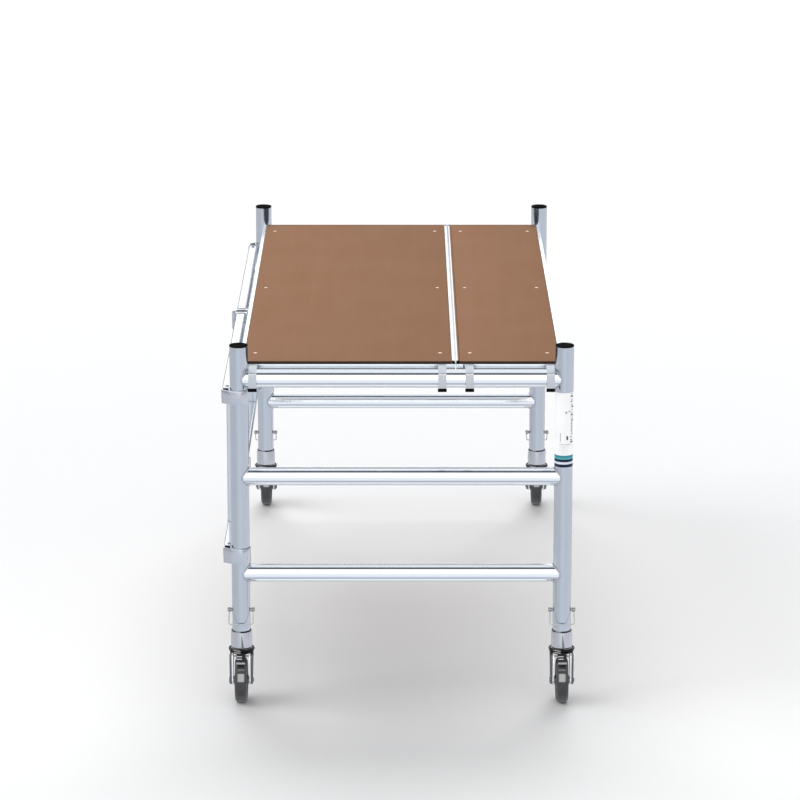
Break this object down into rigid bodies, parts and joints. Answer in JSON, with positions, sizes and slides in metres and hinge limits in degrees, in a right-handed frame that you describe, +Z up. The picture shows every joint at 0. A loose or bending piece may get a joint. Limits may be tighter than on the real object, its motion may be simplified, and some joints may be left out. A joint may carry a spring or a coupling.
{
  "type": "folding room scaffold",
  "caption": "Folding room scaffold with ladder end frames, a folding side panel, hook-on plywood decks and braked swivel casters.",
  "frame": {"origin": "on the floor, at the centre of the object box in X and Y", "axes": "+X across the end frames towards the open side, +Y along the decks from the front end frame to the rear one, +Z up"},
  "size_m": [1, 2.151, 1.022],
  "materials": {
    "aluminium_tube": "drawn, satin",
    "aluminium_profile": "extruded, satin",
    "cast_aluminium": "cast, lightly blasted",
    "zinc_steel": "zinc plated",
    "black_plastic": "moulded, matt",
    "deck_plywood": "phenolic film, smooth",
    "wheel_rubber": "moulded, matt"
  },
  "bodies": {
    "front_frame": {"front_left_upright": "aluminium_tube", "front_left_tube_cap": "black_plastic", "front_left_caster_stem": "cast_aluminium", "front_right_upright": "aluminium_tube", "front_right_tube_cap": "black_plastic", "front_right_caster_stem": "cast_aluminium", "front_top_rung": "aluminium_tube", "front_middle_rung": "aluminium_tube", "front_bottom_rung": "aluminium_tube"},
    "front_panel": {"front_folding_panel": "aluminium_profile", "front_upper_hinge_collar": "cast_aluminium", "front_lower_hinge_collar": "cast_aluminium", "upper_mid_hinge_pin": "zinc_steel", "lower_mid_hinge_pin": "zinc_steel"},
    "latch": {"fold_latch": "zinc_steel"},
    "rear_panel": {"rear_folding_panel": "aluminium_profile", "rear_upper_hinge_collar": "cast_aluminium", "rear_lower_hinge_collar": "cast_aluminium"},
    "rear_frame": {"rear_left_upright": "aluminium_tube", "rear_left_tube_cap": "black_plastic", "rear_left_caster_stem": "cast_aluminium", "rear_right_upright": "aluminium_tube", "rear_right_tube_cap": "black_plastic", "rear_right_caster_stem": "cast_aluminium", "rear_top_rung": "aluminium_tube", "rear_middle_rung": "aluminium_tube", "rear_bottom_rung": "aluminium_tube"},
    "wide_deck": {"wide_deck_plywood": "deck_plywood", "wide_deck_frame": "aluminium_profile", "wide_deck_hook_front_left": "cast_aluminium", "wide_deck_hook_front_right": "cast_aluminium", "wide_deck_hook_rear_left": "cast_aluminium", "wide_deck_hook_rear_right": "cast_aluminium"},
    "narrow_deck": {"narrow_deck_plywood": "deck_plywood", "narrow_deck_frame": "aluminium_profile", "narrow_deck_hook_front_left": "cast_aluminium", "narrow_deck_hook_front_right": "cast_aluminium", "narrow_deck_hook_rear_left": "cast_aluminium", "narrow_deck_hook_rear_right": "cast_aluminium"},
    "front_left_caster": {"front_left_caster_fork": "zinc_steel", "front_left_wheel_axle": "zinc_steel"},
    "front_left_wheel": {"front_left_caster_wheel": "wheel_rubber"},
    "front_left_pedal": {"front_left_brake_pedal": "zinc_steel"},
    "front_left_pin": {"front_left_snap_pin": "zinc_steel"},
    "front_right_caster": {"front_right_caster_fork": "zinc_steel", "front_right_wheel_axle": "zinc_steel"},
    "front_right_wheel": {"front_right_caster_wheel": "wheel_rubber"},
    "front_right_pedal": {"front_right_brake_pedal": "zinc_steel"},
    "front_right_pin": {"front_right_snap_pin": "zinc_steel"},
    "rear_left_caster": {"rear_left_caster_fork": "zinc_steel", "rear_left_wheel_axle": "zinc_steel"},
    "rear_left_wheel": {"rear_left_caster_wheel": "wheel_rubber"},
    "rear_left_pedal": {"rear_left_brake_pedal": "zinc_steel"},
    "rear_left_pin": {"rear_left_snap_pin": "zinc_steel"},
    "rear_right_caster": {"rear_right_caster_fork": "zinc_steel", "rear_right_wheel_axle": "zinc_steel"},
    "rear_right_wheel": {"rear_right_caster_wheel": "wheel_rubber"},
    "rear_right_pedal": {"rear_right_brake_pedal": "zinc_steel"},
    "rear_right_pin": {"rear_right_snap_pin": "zinc_steel"}
  },
  "joints": [
    {"name": "fold", "type": "hinge", "parent": "front_frame", "child": "front_panel", "pos_m": [-0.438, -0.975, 0.65], "axis": [0, 0, -1], "range_deg": [0, 86.5]},
    {"name": "mid_fold", "type": "hinge", "parent": "front_panel", "child": "rear_panel", "pos_m": [-0.493, 0, 0.65], "axis": [0, 0, 1], "range_deg": [0, 173]},
    {"name": "rear_fold", "type": "hinge", "parent": "rear_panel", "child": "rear_frame", "pos_m": [-0.438, 0.975, 0.65], "axis": [0, 0, -1], "range_deg": [0, 86.5]},
    {"name": "latch_lift", "type": "hinge", "parent": "front_panel", "child": "latch", "pos_m": [-0.4515, -0.018, 0.878], "axis": [1, 0, 0], "range_deg": [0, 90]},
    {"name": "wide_deck_lift_off", "type": "slide", "parent": "front_frame", "child": "wide_deck", "axis": [0, 0, 1], "range_m": [0, 0.68]},
    {"name": "narrow_deck_lift_off", "type": "slide", "parent": "front_frame", "child": "narrow_deck", "axis": [0, 0, 1], "range_m": [0, 0.68]},
    {"name": "front_left_swivel", "type": "hinge", "parent": "front_frame", "child": "front_left_caster", "pos_m": [-0.438, -0.975, 0.14], "axis": [0, 0, 1], "continuous": true},
    {"name": "front_left_wheel_spin", "type": "hinge", "parent": "front_left_caster", "child": "front_left_wheel", "pos_m": [-0.438, -1.013, 0.0625], "axis": [1, 0, 0], "continuous": true},
    {"name": "front_left_brake_press", "type": "hinge", "parent": "front_left_caster", "child": "front_left_pedal", "pos_m": [-0.438, -1.02, 0.134], "axis": [1, 0, 0], "range_deg": [0, 10]},
    {"name": "front_left_pin_bail_swing", "type": "hinge", "parent": "front_frame", "child": "front_left_pin", "pos_m": [-0.438, -0.975, 0.257], "axis": [-1, 0, 0], "range_deg": [0, 98]},
    {"name": "front_right_swivel", "type": "hinge", "parent": "front_frame", "child": "front_right_caster", "pos_m": [0.462, -0.975, 0.14], "axis": [0, 0, 1], "continuous": true},
    {"name": "front_right_wheel_spin", "type": "hinge", "parent": "front_right_caster", "child": "front_right_wheel", "pos_m": [0.462, -1.013, 0.0625], "axis": [1, 0, 0], "continuous": true},
    {"name": "front_right_brake_press", "type": "hinge", "parent": "front_right_caster", "child": "front_right_pedal", "pos_m": [0.462, -1.02, 0.134], "axis": [1, 0, 0], "range_deg": [0, 10]},
    {"name": "front_right_pin_bail_swing", "type": "hinge", "parent": "front_frame", "child": "front_right_pin", "pos_m": [0.462, -0.975, 0.257], "axis": [-1, 0, 0], "range_deg": [0, 98]},
    {"name": "rear_left_swivel", "type": "hinge", "parent": "rear_frame", "child": "rear_left_caster", "pos_m": [-0.438, 0.975, 0.14], "axis": [0, 0, 1], "continuous": true},
    {"name": "rear_left_wheel_spin", "type": "hinge", "parent": "rear_left_caster", "child": "rear_left_wheel", "pos_m": [-0.438, 1.013, 0.0625], "axis": [1, 0, 0], "continuous": true},
    {"name": "rear_left_brake_press", "type": "hinge", "parent": "rear_left_caster", "child": "rear_left_pedal", "pos_m": [-0.438, 1.02, 0.134], "axis": [-1, 0, 0], "range_deg": [0, 10]},
    {"name": "rear_left_pin_bail_swing", "type": "hinge", "parent": "rear_frame", "child": "rear_left_pin", "pos_m": [-0.438, 0.975, 0.257], "axis": [1, 0, 0], "range_deg": [0, 98]},
    {"name": "rear_right_swivel", "type": "hinge", "parent": "rear_frame", "child": "rear_right_caster", "pos_m": [0.462, 0.975, 0.14], "axis": [0, 0, 1], "continuous": true},
    {"name": "rear_right_wheel_spin", "type": "hinge", "parent": "rear_right_caster", "child": "rear_right_wheel", "pos_m": [0.462, 1.013, 0.0625], "axis": [1, 0, 0], "continuous": true},
    {"name": "rear_right_brake_press", "type": "hinge", "parent": "rear_right_caster", "child": "rear_right_pedal", "pos_m": [0.462, 1.02, 0.134], "axis": [-1, 0, 0], "range_deg": [0, 10]},
    {"name": "rear_right_pin_bail_swing", "type": "hinge", "parent": "rear_frame", "child": "rear_right_pin", "pos_m": [0.462, 0.975, 0.257], "axis": [1, 0, 0], "range_deg": [0, 98]}
  ],
  "couplings": [
    {"joint": "mid_fold", "follows": "fold", "ratio": 2},
    {"joint": "rear_fold", "follows": "fold", "ratio": 1},
    {"joint": "wide_deck_lift_off", "follows": "fold", "m_per_rad": 0.45},
    {"joint": "narrow_deck_lift_off", "follows": "fold", "m_per_rad": 0.45}
  ]
}
